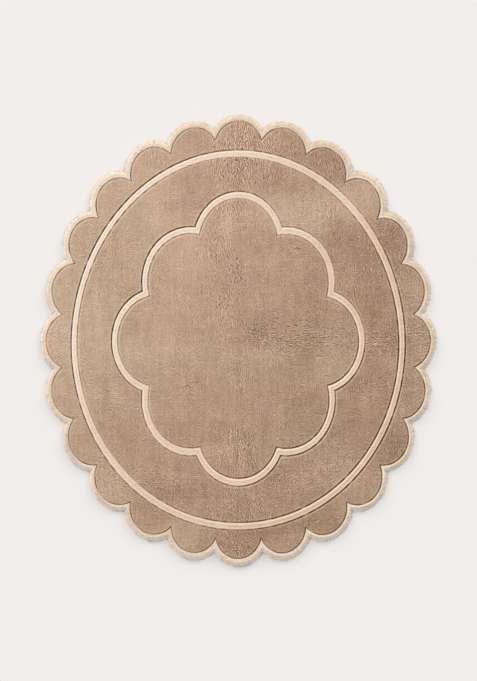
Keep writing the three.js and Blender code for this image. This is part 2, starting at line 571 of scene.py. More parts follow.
# Patches where the pile has been disturbed, as soft ovals: roughed up, or brushed into short strokes
# along the rug or across it. The old folds down the middle and to the right show in this way.
# All of the pile is a little so, and the patches add to that.
ROUGHED_ALL_OVER = 0.42
ROUGHED_SLOPE_X = 0.06
ROUGHED_IN_PATCHES = 1.3
ALONG_ALL_OVER = 0.30
ACROSS_ALL_OVER = 0.26
STROKED_IN_PATCHES = 1.25
roughed_patches = [
    Patch(0.09, 0.03, 0.04, 0.04, 1.7),
    Patch(0.20, 0.00, 0.04, 0.03, 0.6),
    Patch(0.50, 0.00, 0.12, 0.06, 0.5),
    Patch(0.68, -0.02, 0.05, 0.05, 1.2),
    Patch(0.80, 0.03, 0.05, 0.08, 0.8),
    Patch(-0.25, 0.60, 0.12, 0.02, 0.7),
    Patch(0.17, -0.60, 0.05, 0.04, 0.9),
    Patch(0.28, -0.62, 0.05, 0.04, 0.6),
    Patch(0.40, -0.50, 0.10, 0.10, 0.4),
    Patch(0.30, 0.57, 0.06, 0.05, 0.6),
    Patch(0.62, 0.50, 0.08, 0.06, 0.6),
    Patch(0.00, -0.90, 0.10, 0.07, 0.5),
    Patch(-0.60, 0.48, 0.08, 0.08, 0.5),
    Patch(0.74, -0.22, 0.06, 0.12, 0.5),
    Patch(-0.79, 0.00, 0.05, 0.08, 1.3),
    Patch(0.60, -0.50, 0.10, 0.10, 0.4),
    Patch(0.00, 0.78, 0.07, 0.03, 0.8),
    Patch(0.00, 0.93, 0.07, 0.03, 0.6),
    Patch(0.00, 0.30, 0.02, 0.03, 0.9),
    Patch(-0.65, 0.36, 0.06, 0.05, 0.6),
    Patch(-0.60, -0.60, 0.08, 0.06, 0.7),
    Patch(-0.34, -0.66, 0.08, 0.05, 0.5),
    Patch(0.30, 0.03, 0.22, 0.10, 0.2),
    Patch(0.50, -0.19, 0.04, 0.03, 1.2),
    Patch(-0.49, 0.21, 0.04, 0.03, 0.8),
    Patch(0.05, -0.62, 0.45, 0.16, 0.25),
    Patch(0.72, 0.35, 0.08, 0.30, 0.25),
]
along_patches = [
    Patch(0.00, 0.84, 0.09, 0.13, 1.7),
    Patch(0.16, 0.84, 0.08, 0.10, 0.6),
    Patch(0.40, 0.72, 0.08, 0.12, 0.4),
    Patch(0.00, 0.56, 0.10, 0.05, 0.6),
    Patch(-0.10, 0.45, 0.05, 0.06, 0.5),
    Patch(-0.01, 0.30, 0.04, 0.05, 0.8),
    Patch(-0.05, 0.08, 0.04, 0.12, 0.6),
    Patch(0.00, -0.16, 0.04, 0.05, 0.6),
    Patch(0.00, -0.48, 0.07, 0.09, 1.0),
    Patch(0.02, -0.74, 0.10, 0.07, 0.8),
    Patch(0.00, -0.90, 0.08, 0.05, 0.6),
    Patch(0.55, 0.32, 0.09, 0.12, 0.35),
    Patch(-0.37, 0.26, 0.04, 0.10, 0.35),
    Patch(-0.60, 0.33, 0.10, 0.12, 0.25),
    Patch(-0.37, 0.82, 0.06, 0.05, 0.5),
    Patch(-0.08, 0.32, 0.06, 0.20, 0.3),
    Patch(0.42, 0.50, 0.04, 0.12, 0.4),
    Patch(0.75, 0.30, 0.06, 0.10, 0.4),
    Patch(0.72, -0.42, 0.06, 0.10, 0.3),
]
across_patches = [
    Patch(0.24, 0.01, 0.13, 0.06, 0.9),
    Patch(0.62, -0.01, 0.08, 0.04, 1.2),
    Patch(0.80, 0.02, 0.05, 0.05, 0.9),
    Patch(-0.80, -0.03, 0.05, 0.05, 0.4),
    Patch(-0.27, -0.06, 0.07, 0.05, 0.3),
    Patch(-0.60, -0.25, 0.10, 0.08, 0.2),
    Patch(-0.55, -0.62, 0.12, 0.06, 0.35),
    Patch(0.25, 0.40, 0.08, 0.08, 0.4),
    Patch(-0.14, 0.20, 0.03, 0.06, 0.4),
    Patch(-0.20, -0.18, 0.04, 0.06, 0.4),
    Patch(0.28, -0.25, 0.04, 0.06, 0.4),
    Patch(0.60, -0.22, 0.05, 0.05, 0.4),
    Patch(0.58, -0.55, 0.06, 0.05, 0.4),
    Patch(-0.35, -0.60, 0.08, 0.05, 0.4),
    Patch(0.35, -0.80, 0.08, 0.04, 0.3),
    Patch(-0.50, 0.36, 0.05, 0.05, 0.3),
]

# Patches where the wool has a warmer tone than the rest, or a greener one
warm_patches = [
    Patch(0.00, 0.30, 0.28, 0.20, 0.50),
    Patch(-0.02, 0.85, 0.25, 0.14, 0.70),
    Patch(0.45, 0.76, 0.10, 0.08, 0.30),
    Patch(-0.05, -0.24, 0.20, 0.05, 0.35),
    Patch(-0.30, -0.60, 0.12, 0.10, 0.25),
    Patch(0.30, -0.68, 0.20, 0.10, 0.25),
    Patch(0.66, 0.00, 0.06, 0.10, 0.40),
    Patch(-0.62, 0.10, 0.14, 0.35, -0.45),
    Patch(-0.50, -0.26, 0.14, 0.10, -0.35),
    Patch(0.30, -0.05, 0.16, 0.09, -0.35),
    Patch(0.30, -0.36, 0.10, 0.08, -0.30),
    Patch(0.45, -0.52, 0.12, 0.10, -0.20),
    Patch(-0.50, -0.38, 0.07, 0.04, 0.60),
    Patch(-0.36, -0.33, 0.05, 0.05, 0.45),
    Patch(0.15, 0.60, 0.05, 0.05, -0.75),
    Patch(0.32, 0.62, 0.08, 0.04, -0.40),
    Patch(-0.40, 0.42, 0.05, 0.05, -0.60),
    Patch(-0.08, -0.11, 0.05, 0.04, -0.60),
    Patch(0.04, -0.03, 0.02, 0.04, 0.60),
    Patch(0.40, 0.06, 0.03, 0.02, 0.45),
    Patch(0.55, -0.45, 0.04, 0.05, 0.45),
    Patch(-0.03, -0.57, 0.05, 0.03, 0.55),
    Patch(0.33, -0.30, 0.03, 0.04, 0.45),
    Patch(-0.75, -0.10, 0.04, 0.06, -0.40),
    Patch(-0.60, -0.10, 0.10, 0.25, 0.15),
    Patch(-0.58, 0.42, 0.03, 0.03, 0.70),
    Patch(0.60, -0.20, 0.04, 0.06, 0.40),
    Patch(-0.42, -0.48, 0.04, 0.04, 0.45),
    Patch(0.30, -0.54, 0.06, 0.03, 0.40),
    Patch(0.21, -0.87, 0.05, 0.04, 0.45),
    Patch(-0.40, -0.76, 0.04, 0.04, 0.40),
    Patch(0.70, 0.45, 0.03, 0.04, 0.45),
    Patch(0.53, 0.42, 0.10, 0.06, 0.42),
    Patch(-0.26, 0.61, 0.07, 0.06, 0.45),
    Patch(0.00, -0.89, 0.09, 0.05, 0.50),
    Patch(0.57, 0.65, 0.06, 0.07, -0.40),
    Patch(-0.60, -0.43, 0.04, 0.03, -0.60),
    Patch(-0.09, -0.18, 0.05, 0.03, -0.40),
    Patch(-0.37, -0.15, 0.05, 0.03, -0.40),
    Patch(0.10, -0.48, 0.04, 0.03, -0.40),
    Patch(-0.37, -0.44, 0.03, 0.02, -0.40),
    Patch(-0.35, 0.80, 0.05, 0.04, -0.45),
    Patch(0.55, 0.25, 0.05, 0.05, 0.45),
    Patch(-0.10, -0.36, 0.05, 0.03, 0.40),
    Patch(-0.35, 0.36, 0.04, 0.04, -0.40),
    Patch(0.25, -0.25, 0.05, 0.04, -0.40),
    Patch(0.35, 0.84, 0.04, 0.03, 0.40),
    Patch(-0.12, -0.68, 0.16, 0.07, 0.25),
    Patch(0.80, -0.20, 0.04, 0.06, -0.40),
    Patch(0.36, -0.81, 0.04, 0.03, -0.40),
]

# The clippers, held by hand, went to their full depth in some places and only grazed the pile in others,
# by the way that the line they followed faces. On a lobe they may have gone deeper on the side that faces
# clockwise round the rug, or anticlockwise, by the lobe's direction from the rug's middle. The painted
# shade down in a groove is as strong as it is deep.
Cut = namedtuple("Cut", "facing clockwise anticlockwise", defaults=(EVEN, EVEN))
DEEPEST_CUT = 1.6
lobed_outer_cut = Cut(Compass(0.16, 0.12, 0.32, 1.25, 0.85, 0.15, 0.28, 1.25))
lobed_inner_cut = Cut(Compass(0.38, 0.15, 0.03, 0.30, 0.18, -0.02, 0.50, 0.85))

# How far out they strayed from the drawn line, in millimetres by direction from the rug's middle
lobed_outer_stray = Compass(-3.0, -0.5, -4.2, 0.0, -1.0, 2.5, 0.0, 2.0)
lobed_inner_stray = Compass(-0.5, 0.0, 1.0, 4.0, 3.5, 3.5, 0.2, 5.0)

# The lip of a cut leans out over it, and has a painted highlight, strongest where it faces the key lamp
lobed_lip_light = Compass(0.25, 0.05, 0.65, 1.15, 0.80, 0.00, 0.15, 0.50)

# The side of an area of pile is a stack of closed rows of points, from the cloth up. The area lies within
# them, towards the rug's middle, or beyond them, towards its edge. cut is how deep its groove was clipped,
# pale how strong the painted highlight or shade on its lip is, by direction, and bunched how far its
# tufts stand in bunches.
# A row's cut also sets the painted shade on it, and its lip the strength of its painted highlight
Row = namedtuple("Row", "offset height cut lip")
Side = namedtuple("Side", "outline steps lies rows cut pale bunched")
WITHIN = -1
BEYOND = 1


def in_patches(patches, x, y):
    """The lift that soft oval patches give at each point, all together."""
    total = np.zeros_like(x)
    for patch in patches:
        across = (x - patch.x) / patch.half_width
        along = (y - patch.y) / patch.half_length
        total += patch.lift * np.exp(-0.5 * (across**2 + along**2) ** PATCH_EDGE)
    return total


def pile_values(points, patchiness):
    """How the pile looks at each point: painted light and shade, warmth of wool, how rough and how stroked.
    """
    x = points[:, 0]
    y = points[:, 1]
    roughed = in_patches(roughed_patches, x, y)
    along = in_patches(along_patches, x, y)
    across = in_patches(across_patches, x, y)
    return {
        # The painted light and shade: an even slope across the rug and soft patches of it
        "lean": LIGHT_SLOPE_X * x + LIGHT_SLOPE_Y * y + patchiness * in_patches(nap_light_patches, x, y),
        "warm": in_patches(warm_patches, x, y),
        "roughed": ROUGHED_ALL_OVER + ROUGHED_SLOPE_X * x + ROUGHED_IN_PATCHES * roughed,
        "along": ALONG_ALL_OVER + STROKED_IN_PATCHES * along,
        "across": ACROSS_ALL_OVER + STROKED_IN_PATCHES * across,
    }


SWELL = 0.0005
SWELL_WAVES = 9
SWELL_LENGTHS = (0.07, 0.30)


def swell(x, y):
    """Soft unevenness of pile that lies on a floor, in metres."""
    rise = np.zeros_like(x)
    waves = np.random.default_rng(seed=7)
    for _ in range(SWELL_WAVES):
        bearing = waves.uniform(0, 2 * np.pi)
        length = waves.uniform(*SWELL_LENGTHS)
        start = waves.uniform(0, 2 * np.pi)
        along = x * np.cos(bearing) + y * np.sin(bearing)
        rise += np.sin(2 * np.pi * along / length + start)
    return rise * SWELL / math.sqrt(SWELL_WAVES)


# Along its line a cut is now deeper and now less deep, in waves that run so many times round the rug
UNEVEN_CUT = 0.15
UNEVEN_WAVES = 8
UNEVEN_TIMES_ROUND = (24, 140)


def cut_share(cut, facing, turns):
    """The share of its full depth that a groove was clipped to, where its line faces outward that way."""
    skew = np.sin(2 * np.pi * (facing - turns))
    share = toward(cut.facing, facing)
    share += toward(cut.clockwise, turns) * np.clip(-skew, 0, 1)
    share += toward(cut.anticlockwise, turns) * np.clip(skew, 0, 1)
    hand = np.random.default_rng(seed=5)
    uneven = np.ones_like(turns)
    for times_round in hand.integers(*UNEVEN_TIMES_ROUND, UNEVEN_WAVES):
        uneven += UNEVEN_CUT * np.sin(2 * np.pi * (times_round * turns + hand.uniform()))
    return np.clip(share * uneven, 0, DEEPEST_CUT)


def cut_side(outline, steps, middle, lies, cut, pale):
    """The side of an area of pile along a clipped groove, from the cloth up over its bevelled lip."""
    rows = [Row(middle + lies * SLIT_HALF, CLOTH_THICKNESS, cut=1, lip=0)]
    bevel = [SLIT_HALF + (GROOVE_HALF - SLIT_HALF) * k / SIDE_STEPS for k in range(SIDE_STEPS + 1)]
    for away in (*bevel, LIP_AT, LIP_END):
        depth = max(1 - away / GROOVE_HALF, 0) ** GROOVE_CURVE
        # How strong the painted highlight is here, strongest along the lip
        lip = math.exp(-(((away - LIP_AT) / LIP_HALF) ** 2))
        rows.append(Row(middle + lies * away, PILE_TOP - depth * GROOVE_DEPTH, depth, lip))
    return Side(outline, steps, lies, rows, cut, pale, bunched=0)


def within(side, margin, points):
    """Which points lie within the top row of a side, once that is moved a margin further into the pile."""
    line = side.outline(side.rows[-1].offset + side.lies * margin, all_round(side.steps))
    line_angle = np.arctan2(line[:, 1], line[:, 0] / narrowing)
    line_reach = np.hypot(line[:, 1], line[:, 0] / narrowing)
    angle = np.arctan2(points[:, 1], points[:, 0] / narrowing)
    reach = np.hypot(points[:, 1], points[:, 0] / narrowing)
    return reach < np.interp(angle, line_angle, line_reach, period=2 * np.pi)


def yarn_ends(outer, inner, chance):
    """Yarn ends over an area: tips on an uneven lattice of even-sided triangles, and a hollow in each."""
    row_gap = TUFT_PITCH * math.sqrt(0.75)
    rows = round(RUG_LENGTH / row_gap)
    columns = round(RUG_WIDTH / TUFT_PITCH) + rows // 2
    row, column = np.mgrid[0:rows, 0:columns]
    tip_x = (column - columns / 2 + (row - rows / 2) / 2) * TUFT_PITCH
    tip_y = (row - rows / 2) * row_gap
    stray = chance.uniform(-TUFT_STRAY, TUFT_STRAY, (rows, columns, 2)) * TUFT_PITCH
    tip = np.stack([tip_x, tip_y], axis=2) + stray
    low_hollow = (tip[:-1, :-1] + tip[:-1, 1:] + tip[1:, :-1]) / 3
    high_hollow = (tip[:-1, 1:] + tip[1:, 1:] + tip[1:, :-1]) / 3
    points = np.concatenate([tip.reshape(-1, 2), low_hollow.reshape(-1, 2), high_hollow.reshape(-1, 2)])
    rise = np.where(np.arange(len(points)) < tip.shape[0] * tip.shape[1], 0.5, -0.5)
    rise = rise + chance.uniform(-TUFT_RISE_SPREAD, TUFT_RISE_SPREAD, len(points))
    keep = within(outer, TUFT_MARGIN, points)
    if inner:
        keep &= ~within(inner, TUFT_MARGIN, points)
    return points[keep], rise[keep]


SHORT_WAY = 0.001


def outward_at(outline, offset, turns):
    """Short level arrows that point outward across a line."""
    return outline(offset + SHORT_WAY, turns) - outline(offset, turns)


def side_points(side, chance):
    """The side's points, row by row from the cloth up, with the rise, painted shade and lip highlight at
    each.

    The lowest row lies on the cloth, and from the third one up the pile is ragged.
    """
    turns = all_round(side.steps)
    bunch = chance.uniform(-0.5, 0.5, side.steps)
    bunch = (bunch + np.roll(bunch, 1)) / 2 * side.bunched
    made = []
    for number, row in enumerate(side.rows):
        flat = side.outline(row.offset, turns)
        outward = outward_at(side.outline, row.offset, turns)
        facing = np.arctan2(outward[:, 1], outward[:, 0]) / (2 * np.pi)
        share = cut_share(side.cut, facing, turns) if side.cut else np.ones(side.steps)
        lip = row.lip * toward(side.pale, facing if side.lies == WITHIN else facing + 0.5)
        height = np.full(side.steps, row.height)
        rise = chance.uniform(-0.5, 0.5, side.steps) + bunch
        if number:
            height = PILE_TOP - (PILE_TOP - row.height) * share
        if number > 1:
            flat = flat + chance.uniform(-RAGGED, RAGGED, flat.shape)
            height = height + rise * TUFT_RISE * SIDE_RISE
        made.append(np.column_stack([flat, height, rise, row.cut * share, lip]))
    return np.concatenate(made)


def pile_area(name, wool, seed, outer, inner=None, patchiness=TAUPE_PATCHINESS, painted_light_round=EVEN, patches=()):
    """A closed body of pile on the cloth, between an outer side and an inner one or all the way in.

    The argument after patchiness is the light and shade painted on it by direction from the rug's middle,
    and patches are soft patches of painted light and shade of its own.
    """
    chance = np.random.default_rng(seed)
    sides = [outer, inner] if inner else [outer]
    surface = [side_points(side, chance) for side in sides]
    ends, end_rise = yarn_ends(outer, inner, chance)
    uncut = np.zeros(len(ends))
    surface.append(np.column_stack([ends, PILE_TOP + end_rise * TUFT_RISE, end_rise, uncut, uncut]))
    x, y, z, rise, cut, lip = np.concatenate(surface).T
    flat = np.column_stack([x, y])
    faces = []
    feet = []
    lips = []
    count = 0
    for side in sides:
        feet.append(count + np.arange(side.steps))
        for _ in side.rows[1:]:
            between = strip(count, count + side.steps, side.steps)
            faces.append(between if side is outer else between[:, ::-1])
            count += side.steps
        lips.append(count + np.arange(side.steps))
        count += side.steps
    top = np.concatenate([*lips, count + np.arange(len(ends))])
    foot = np.concatenate(feet)
    loops = [np.arange(outer.steps)]
    if inner:
        loops.append(outer.steps + np.arange(inner.steps))
    faces.append(top[cover(flat[top], *loops)])
    faces.append(foot[cover(flat[foot], *loops)][:, ::-1])
    above_cloth = (z - CLOTH_THICKNESS) / (PILE_TOP - CLOTH_THICKNESS)
    points = np.column_stack([x, y, z + swell(x, y) * np.clip(above_cloth, 0, 1)])
    values = pile_values(points, patchiness)
    # More painted light and shade: by direction from the rug's middle, and in this piece's own patches
    values["lean"] += toward(painted_light_round, np.arctan2(y, x) / (2 * np.pi))
    values["lean"] += in_patches(patches, x, y)
    # The tips' rise, the cuts' depth and the lips' strength, from which the finish paints light and shade
    values["rise"] = rise
    values["cut"] = cut
    values["lip"] = lip
    return mesh_object(name, wool, points, np.concatenate(faces), values)


# Taupe wool: its shades in a pinker and a greener mix, its middle one, and how its grain and its rows show
TAUPE_PINKER = Shades(dark=(0.241, 0.130, 0.078), light=(0.703, 0.485, 0.359))
TAUPE_GREENER = Shades(dark=(0.229, 0.134, 0.076), light=(0.669, 0.501, 0.355))
GREENER_MIDDLE = 0.54
TAUPE_MIDDLE = 0.456
TAUPE_GRAIN_SHOWS = 1.7
ROWS_SHOW = 1.5
ROW_PITCH = 0.0094
ROW_BEND = 14.0

# Painted shade down in the cuts and low on the open edge, and the share of a cut's depth from which
# it shows alone
PAINTED_CUT_SHADE = (0.21, 0.09, 0.018)
DARK_FROM = 0.25


def painted_pile_light(finish, tips, lips):
    """Painted light and shade of the pile by its lean, lighter tips, darker hollows and bright lips."""
    return finish.value("lean") + finish.value("rise") * tips + finish.value("lip") * lips


def tuft_rows(finish, across, along):
    """The rows that the tufts stand in, along the rug or across it: fine lines between soft streaks."""
    phase = finish.reach(across) * (2 * math.pi / ROW_PITCH)
    phase += finish.specks(size=0.018, strength=ROW_BEND, detail=0.0)
    return finish.wave(phase, strength=0.15) + finish.streaks(0.0041, along, squeeze=0.25, strength=0.45)


def close_wool(finish, wool, grain):
    """Ends a finish of cut pile: its wool, with painted shade down in the cuts, and its grain as relief."""
    colour = finish.blend(finish.value("cut") * (1 / DARK_FROM), wool, PAINTED_CUT_SHADE)
    return finish.close(colour, grain, relief_depth=0.0030, sheen=0.12)


def taupe_finish():
    """Taupe wool: mixed fibres, with painted light by how the pile lies and painted shade in the cuts."""
    finish = Finish("taupe_wool")
    roughed = finish.value("roughed") + finish.specks(size=0.05, strength=1.6)
    grain = finish.specks(size=0.0043, strength=roughed)
    swing = finish.specks(size=0.06, strength=2.6)
    upright = tuft_rows(finish, "X", along="Y") * (finish.value("along") + swing)
    level = tuft_rows(finish, "Y", along="X") * (finish.value("across") - swing)
    combed = finish.streaks(width=0.012, along="Y", squeeze=0.08, strength=0.24)
    combed += finish.streaks(width=0.012, along="X", squeeze=0.12, strength=0.12)
    clouds = finish.specks(size=0.05, strength=0.30)
    amount = TAUPE_MIDDLE + painted_pile_light(finish, tips=0.12, lips=0.5) + grain * TAUPE_GRAIN_SHOWS
    amount += (upright + level) * ROWS_SHOW
    amount += combed
    amount += clouds
    pinker = finish.blend(amount, *TAUPE_PINKER)
    greener = finish.blend(amount, *TAUPE_GREENER)
    greenness = GREENER_MIDDLE - finish.value("warm") + finish.specks(size=0.04, strength=1.8)
    return close_wool(finish, finish.blend(greenness, pinker, greener), grain)


taupe_wool = taupe_finish()
middle_pile = pile_area(
    "middle_pile",
    taupe_wool,
    seed=11,
    outer=cut_side(
        lobed_outline(middle_lobes, sharp=-LOBE_BAND / 2, stray=lobed_inner_stray),
        middle_steps, -LOBE_BAND / 2, WITHIN, lobed_inner_cut, lobed_lip_light,
    ),
)
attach(middle_pile, "root")
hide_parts("rug")


# Lobed band: a line of cream wool round the middle, tufted into the same cloth at the same height.
# The clippers have run a groove along both sides of it.
# Cream wool: its shades and tints, the cream of the painted highlight on its lips, and how much each shows
CREAM = Shades(dark=(0.487, 0.290, 0.153), light=(0.92, 0.772, 0.651))
YELLOWER_CREAM = (0.80, 0.68, 0.42)
PINKER_CREAM = (0.88, 0.62, 0.49)
HIGHLIGHT_CREAM = (0.95, 0.87, 0.79)
CREAM_MIDDLE = 0.505
CREAM_GRAIN_SHOWS = 0.6
CREAM_CLOUDS_SHOW = 0.2
CREAM_TINTS_SHOW = 0.8
CREAM_HIGHLIGHT_SHOWS = 0.75
CREAM_PATCHINESS = 0.3
# How strong the painted highlight on cream lips is, by the way they face
cream_lip_light = Compass(0.30, 0.00, 0.75, 1.05, 0.85, 0.25, 0.25, 0.45)


def cream_finish(name, mottle, shades):
    """Cream wool between a dark and a light shade, mottled more or less, with painted highlights on lips."""
    finish = Finish(name)
    grain = finish.specks(size=0.0058)
    clouds = finish.specks(size=0.03, strength=mottle * CREAM_CLOUDS_SHOW)
    yellow = finish.specks(size=0.04, strength=mottle * CREAM_TINTS_SHOW)
    pink = finish.specks(size=0.025, strength=mottle * CREAM_TINTS_SHOW)
    amount = CREAM_MIDDLE + painted_pile_light(finish, tips=0.10, lips=0.35)
    amount += grain * (mottle * CREAM_GRAIN_SHOWS)
    amount += clouds
    wool = finish.blend(amount, *shades)
    wool = finish.blend(yellow, wool, YELLOWER_CREAM)
    wool = finish.blend(pink, wool, PINKER_CREAM)
    wool = finish.blend(finish.value("lip") * CREAM_HIGHLIGHT_SHOWS, wool, HIGHLIGHT_CREAM)
    return close_wool(finish, wool, grain)


cream_wool = cream_finish("cream_wool", mottle=1.0, shades=CREAM)
lobed_band = pile_area(
    "lobed_band",
    cream_wool,
    seed=12,
    outer=cut_side(
        lobed_outline(middle_lobes, sharp=LOBE_BAND / 2, stray=lobed_outer_stray),
        middle_steps, LOBE_BAND / 2, WITHIN, lobed_outer_cut, cream_lip_light,
    ),
    inner=cut_side(
        lobed_outline(middle_lobes, stray=lobed_inner_stray),
        middle_steps, -LOBE_BAND / 2, BEYOND, lobed_inner_cut, cream_lip_light,
    ),
    patchiness=CREAM_PATCHINESS,
)
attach(lobed_band, "root")
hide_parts("rug")


# Field: taupe wool between the lobed band and the ring, tufted and cut level like the middle. The patches
# of painted light and shade, the roughed and the warmer patches are listed with the middle, and run on
# over the field and both bands.
RING_RADIUS = 0.826
RING_BAND = 0.035
RING_STRAY = 0.004
RING_STRAYS = 3
RING_STEPS = 1472
ring_outer_cut = Cut(Compass(0.93, 0.15, 0.25, 1.0, 0.62, 0.28, 0.22, 1.3))
ring_inner_cut = Cut(Compass(0.82, 0.24, 0.02, 0.35, 0.20, 0.03, 0.36, 1.12))
ring_outer_stray = Compass(-0.5, -2.0, -3.0, -1.5, 2.0, 0.0, -3.5, -0.8)
ring_inner_stray = Compass(2.0, -2.5, 1.0, 4.5, 7.2, -0.5, -1.8, 0.2)
# How strong the painted highlight or shade on the taupe lips along the ring is, by the way they face
ring_lip_light = Compass(0.15, -0.15, 0.20, 1.00, 0.85, 0.05, 0.15, 0.45)


def on_ring(stray):
    """The ring's line, drawn by hand: it strays a little three times round, and in millimetres by stray."""
    def line(offset, turns):
        angle = 2 * np.pi * turns
        reach = RING_RADIUS - RING_STRAY * np.sin(RING_STRAYS * angle) + strayed(stray, turns) + offset
        return np.stack([reach * np.cos(angle) * narrowing, reach * np.sin(angle)], axis=1)

    return line


field_pile = pile_area(
    "field_pile",
    taupe_wool,
    seed=13,
    outer=cut_side(on_ring(ring_inner_stray), RING_STEPS, -RING_BAND / 2, WITHIN, ring_inner_cut, ring_lip_light),
    inner=cut_side(
        lobed_outline(middle_lobes, stray=lobed_outer_stray),
        middle_steps, LOBE_BAND / 2, BEYOND, lobed_outer_cut, lobed_lip_light,
    ),
)
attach(field_pile, "root")
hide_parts("rug")


# Ring: a line of the same cream wool round the field, tufted into the same cloth at the same height. It
# has a clipped groove along both sides too.
# Painted shade on the ring by direction from the rug's middle, a little darker to the east and south
ring_painted_shade = Compass(-0.05, -0.01, 0.00, 0.00, 0.00, -0.02, -0.05, -0.07)

ring_band = pile_area(
    "ring_band",
    cream_wool,
    seed=14,
    outer=cut_side(on_ring(ring_outer_stray), RING_STEPS, RING_BAND / 2, WITHIN, ring_outer_cut, cream_lip_light),
    inner=cut_side(on_ring(ring_inner_stray), RING_STEPS, -RING_BAND / 2, BEYOND, ring_inner_cut, cream_lip_light),
    patchiness=CREAM_PATCHINESS,
    painted_light_round=ring_painted_shade,
)
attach(ring_band, "root")
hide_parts("rug")


# Scallops: taupe wool between the ring and the border, tufted and cut level like the field. The groove
# along the border's inner side gives it twenty-four round scallops.
BORDER_WIDTH = 0.032
border_cut = Cut(
    facing=Compass(0.24, 0.11, 0.06, 0.24, 0.13, 0.08, 0.24, 0.46),
    clockwise=Compass(1.15, 1.10, 0.30, -0.05, 0.50, 0.25, -0.20, 0.10),
    anticlockwise=Compass(-0.05, 0.35, 0.70, 0.80, 0.00, 0.65, 0.90, 0.45),
)
border_stray = Compass(2.0, -3.0, 5.0, 0.0, 4.5, 6.0, -5.5, 6.0)
# How strong the painted highlight on the taupe lip along the border is, by the way it faces
border_lip_light = Compass(0.15, 0.00, 0.15, 1.00, 0.30, 0.00, 0.15, 0.15)

scallop_pile = pile_area(
    "scallop_pile",
    taupe_wool,
    seed=15,
    outer=cut_side(
        lobed_outline(scallops, sharp=-BORDER_WIDTH, stray=border_stray),
        scallop_steps, -BORDER_WIDTH, WITHIN, border_cut, border_lip_light,
    ),
    inner=cut_side(on_ring(ring_outer_stray), RING_STEPS, RING_BAND / 2, BEYOND, ring_outer_cut, ring_lip_light),
)
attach(scallop_pile, "root")
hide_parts("rug")


# Border: cream wool along the scalloped edge, tufted into the same cloth. With nothing beside it the pile
# fans out over the cloth's edge and rounds off, and its outermost fibres stand loose.
BORDER_CREAM = Shades(dark=(0.417, 0.260, 0.143), light=(0.815, 0.700, 0.590))
# How strong the painted highlight or shade on the border's own lip is, by the way it faces
border_cream_lip_light = Compass(0.15, -0.15, 0.15, 0.75, 0.45, 0.60, 0.05, 0.30)

# The open edge from the cloth up: out from under, then over in a low dome. Its lowest rows carry painted
# shade, a dark line under the rim.
EDGE_WIDTH = 0.014
EDGE_BUNCHED = 2.4
Edge = namedtuple("Edge", "inward height deep")
edge_profile = [
    Edge(0.0040, 0.0030, 0.15),
    Edge(0.0010, 0.0031, 0.10),
    Edge(0.0000, 0.0038, 0.00),
    Edge(0.0006, 0.0058, 0.00),
    Edge(0.0020, 0.0082, 0.00),
    Edge(0.0045, 0.0108, 0.00),
    Edge(0.0075, 0.0134, 0.00),
    Edge(0.0108, 0.0156, 0.00),
    Edge(EDGE_WIDTH, 0.0172, 0.00),
]

# Painted light and shade on the border by direction from the rug's middle, lightest towards the bottom,
# and painted light and shade on its rim by the way it faces
border_painted_light = Compass(0.06, 0.06, -0.11, 0.02, 0.00, 0.07, 0.36, 0.22)
rim_painted_light = Compass(0.55, 0.65, -0.20, 0.10, 0.75, 0.60, 1.45, 0.50)

# Patches of painted light and shade on the border, mostly in its notches
border_light_patches = [
    Patch(-0.10, 0.90, 0.02, 0.02, 0.22),
    Patch(0.10, 0.90, 0.02, 0.02, 0.22),
    Patch(0.30, 0.84, 0.02, 0.02, 0.10),
    Patch(-0.50, 0.73, 0.02, 0.02, 0.12),
    Patch(-0.65, 0.60, 0.02, 0.03, 0.18),
    Patch(-0.77, -0.35, 0.02, 0.02, 0.12),
    Patch(-0.66, -0.55, 0.03, 0.02, 0.22),
    Patch(-0.50, -0.73, 0.02, 0.02, 0.12),
    Patch(0.50, -0.73, 0.02, 0.02, 0.12),
    Patch(0.65, -0.57, 0.02, 0.03, 0.20),
    Patch(0.65, 0.55, 0.02, 0.02, 0.10),
    Patch(0.84, -0.28, 0.02, 0.03, 0.24),
    Patch(0.26, -0.95, 0.03, 0.02, 0.12),
    Patch(-0.76, -0.45, 0.02, 0.04, -0.17),
    Patch(-0.27, -0.88, 0.03, 0.03, -0.22),
    Patch(0.79, 0.33, 0.02, 0.03, -0.24),
    Patch(0.36, 0.87, 0.04, 0.02, -0.12),
    Patch(0.20, 0.96, 0.05, 0.02, -0.10),
    Patch(-0.55, -0.74, 0.02, 0.02, 0.14),
    Patch(0.86, 0.05, 0.02, 0.025, -0.12),
    Patch(0.83, 0.17, 0.02, 0.03, 0.14),
    Patch(-0.48, 0.80, 0.02, 0.03, 0.12),
    Patch(-0.49, -0.77, 0.02, 0.03, -0.16),
    Patch(-0.31, -0.86, 0.02, 0.02, -0.18),
    Patch(0.84, -0.15, 0.02, 0.03, -0.14),
    Patch(0.77, -0.33, 0.02, 0.02, -0.12),
]

# The edge is trimmed a little further in at the right and at the bottom. Its tufts stand out unevenly, in
# short waves that run so many times round the rug, and die away inwards and towards each notch.
edge_stray = Compass(-1.2, 0.0, 0.0, 0.0, 0.0, 0.0, -2.8, 0.0)
trimmed_edge = lobed_outline(scallops, sharp=0, stray=edge_stray)
FRAY = 0.0005
FRAY_WAVES = 10
FRAY_TIMES_ROUND = (160, 600)
FRAY_GROWTH = 10
FRAY_HELD_BACK = 0.7


